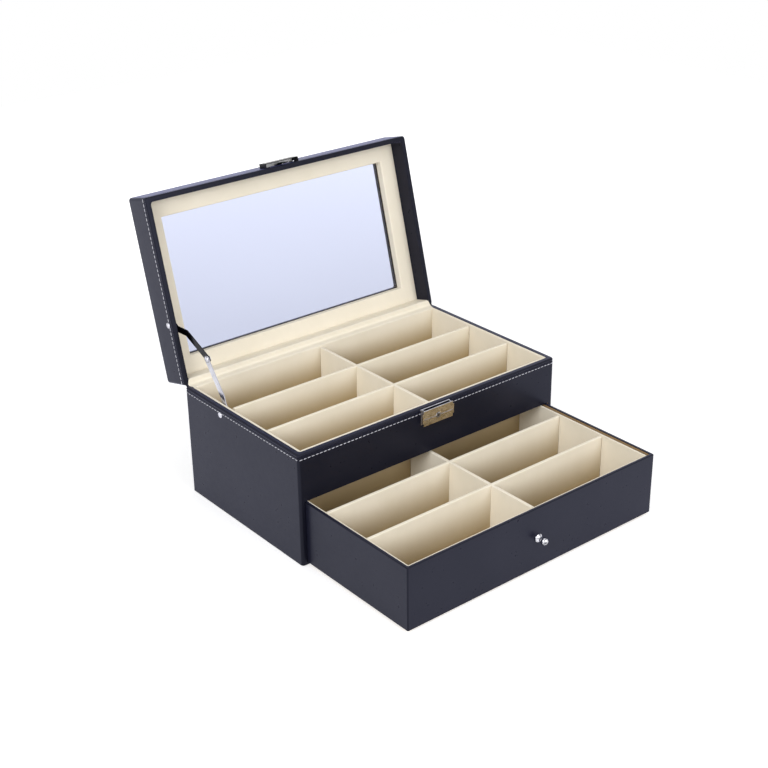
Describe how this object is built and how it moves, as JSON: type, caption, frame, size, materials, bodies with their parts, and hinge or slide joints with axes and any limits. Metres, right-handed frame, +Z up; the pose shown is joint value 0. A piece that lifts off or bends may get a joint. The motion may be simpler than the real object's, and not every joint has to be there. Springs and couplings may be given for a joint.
{
  "type": "glasses box with drawer",
  "caption": "Two-storey leather glasses box: velvet tray with dividers under a windowed lid on a folding stay, and a divided drawer below.",
  "frame": {"origin": "centre of the case's underside, in the plane that it stands on", "axes": "+X along the front to the right, +Y from the front to the back, +Z up; lid open and drawer out as pictured"},
  "size_m": [0.3361, 0.439, 0.315],
  "materials": {
    "felt": "black felt",
    "board": "plain fibreboard",
    "leather": "black, fine grain, half gloss",
    "velvet": "cream velvet, short pile",
    "card": "black card",
    "glass": "clear flat glass",
    "nickel": "polished nickel plate",
    "lock_brass": "antique brass plate",
    "steel": "bright steel"
  },
  "bodies": {
    "case": {"base_cloth": "felt", "base_board": "board", "left_side_board": "board", "right_side_board": "board", "back_board": "board", "front_board": "board", "drawer_shelf": "board", "case_leather": "leather", "tray_floor": "velvet", "tray_liner_left": "velvet", "tray_liner_right": "velvet", "tray_liner_front": "velvet", "tray_liner_back": "velvet", "tray_centre_divider": "velvet", "tray_front_divider": "velvet", "tray_rear_divider": "velvet", "hinge_flap_case": "velvet", "hinge_strip_case": "leather", "case_stay_rivet": "nickel", "lock_backplate": "steel", "lock_screws": "steel", "lock_case": "lock_brass"},
    "drawer": {"drawer_base_board": "board", "drawer_left_board": "board", "drawer_right_board": "board", "drawer_front_board": "board", "drawer_back_board": "board", "drawer_leather": "leather", "drawer_liner_floor": "velvet", "drawer_liner_left": "velvet", "drawer_liner_right": "velvet", "drawer_liner_front": "velvet", "drawer_liner_back": "velvet", "drawer_centre_divider": "velvet", "drawer_front_divider": "velvet", "drawer_rear_divider": "velvet", "knob": "nickel", "knob_screw": "steel"},
    "lid": {"lid_left_rail": "board", "lid_right_rail": "board", "lid_front_rail": "board", "lid_back_rail": "board", "lid_top_frame": "board", "lid_leather": "leather", "window_glass": "glass", "window_spacer": "card", "window_liner_frame": "velvet", "hinge_flap_lid": "velvet", "hinge_strip_lid": "leather", "lid_stay_rivet": "nickel", "hasp_cover": "nickel", "hasp_tongue": "steel", "hasp_rivets": "nickel"},
    "stay_lower": {"stay_lower_arm": "nickel", "elbow_rivet": "nickel"},
    "stay_upper": {"stay_upper_arm": "nickel", "stay_lid_stud": "nickel"},
    "key_cylinder": {"lock_cylinder": "lock_brass"}
  },
  "joints": [
    {"name": "drawer_slide", "type": "slide", "parent": "case", "child": "drawer", "axis": [0, 1, 0], "range_m": [-0.02, 0.149]},
    {"name": "lid_hinge", "type": "hinge", "parent": "case", "child": "lid", "pos_m": [0, 0.0975, 0.1213], "axis": [1, 0, 0], "range_deg": [0, 104.4]},
    {"name": "stay_foot_pivot", "type": "hinge", "parent": "case", "child": "stay_lower", "pos_m": [-0.1584, 0.0337, 0.1131], "axis": [1, 0, 0], "range_deg": [0, 119.5]},
    {"name": "stay_elbow_pivot", "type": "hinge", "parent": "stay_lower", "child": "stay_upper", "pos_m": [-0.156, 0.06862, 0.15854], "axis": [1, 0, 0], "range_deg": [-134.5, 0]},
    {"name": "key_turn", "type": "hinge", "parent": "case", "child": "key_cylinder", "pos_m": [0, -0.1035, 0.111], "axis": [0, 1, 0], "range_deg": [0, 90]}
  ],
  "couplings": [
    {"joint": "stay_foot_pivot", "follows": "lid_hinge", "ratio": 1.1428},
    {"joint": "stay_elbow_pivot", "follows": "lid_hinge", "ratio": -1.2857}
  ]
}
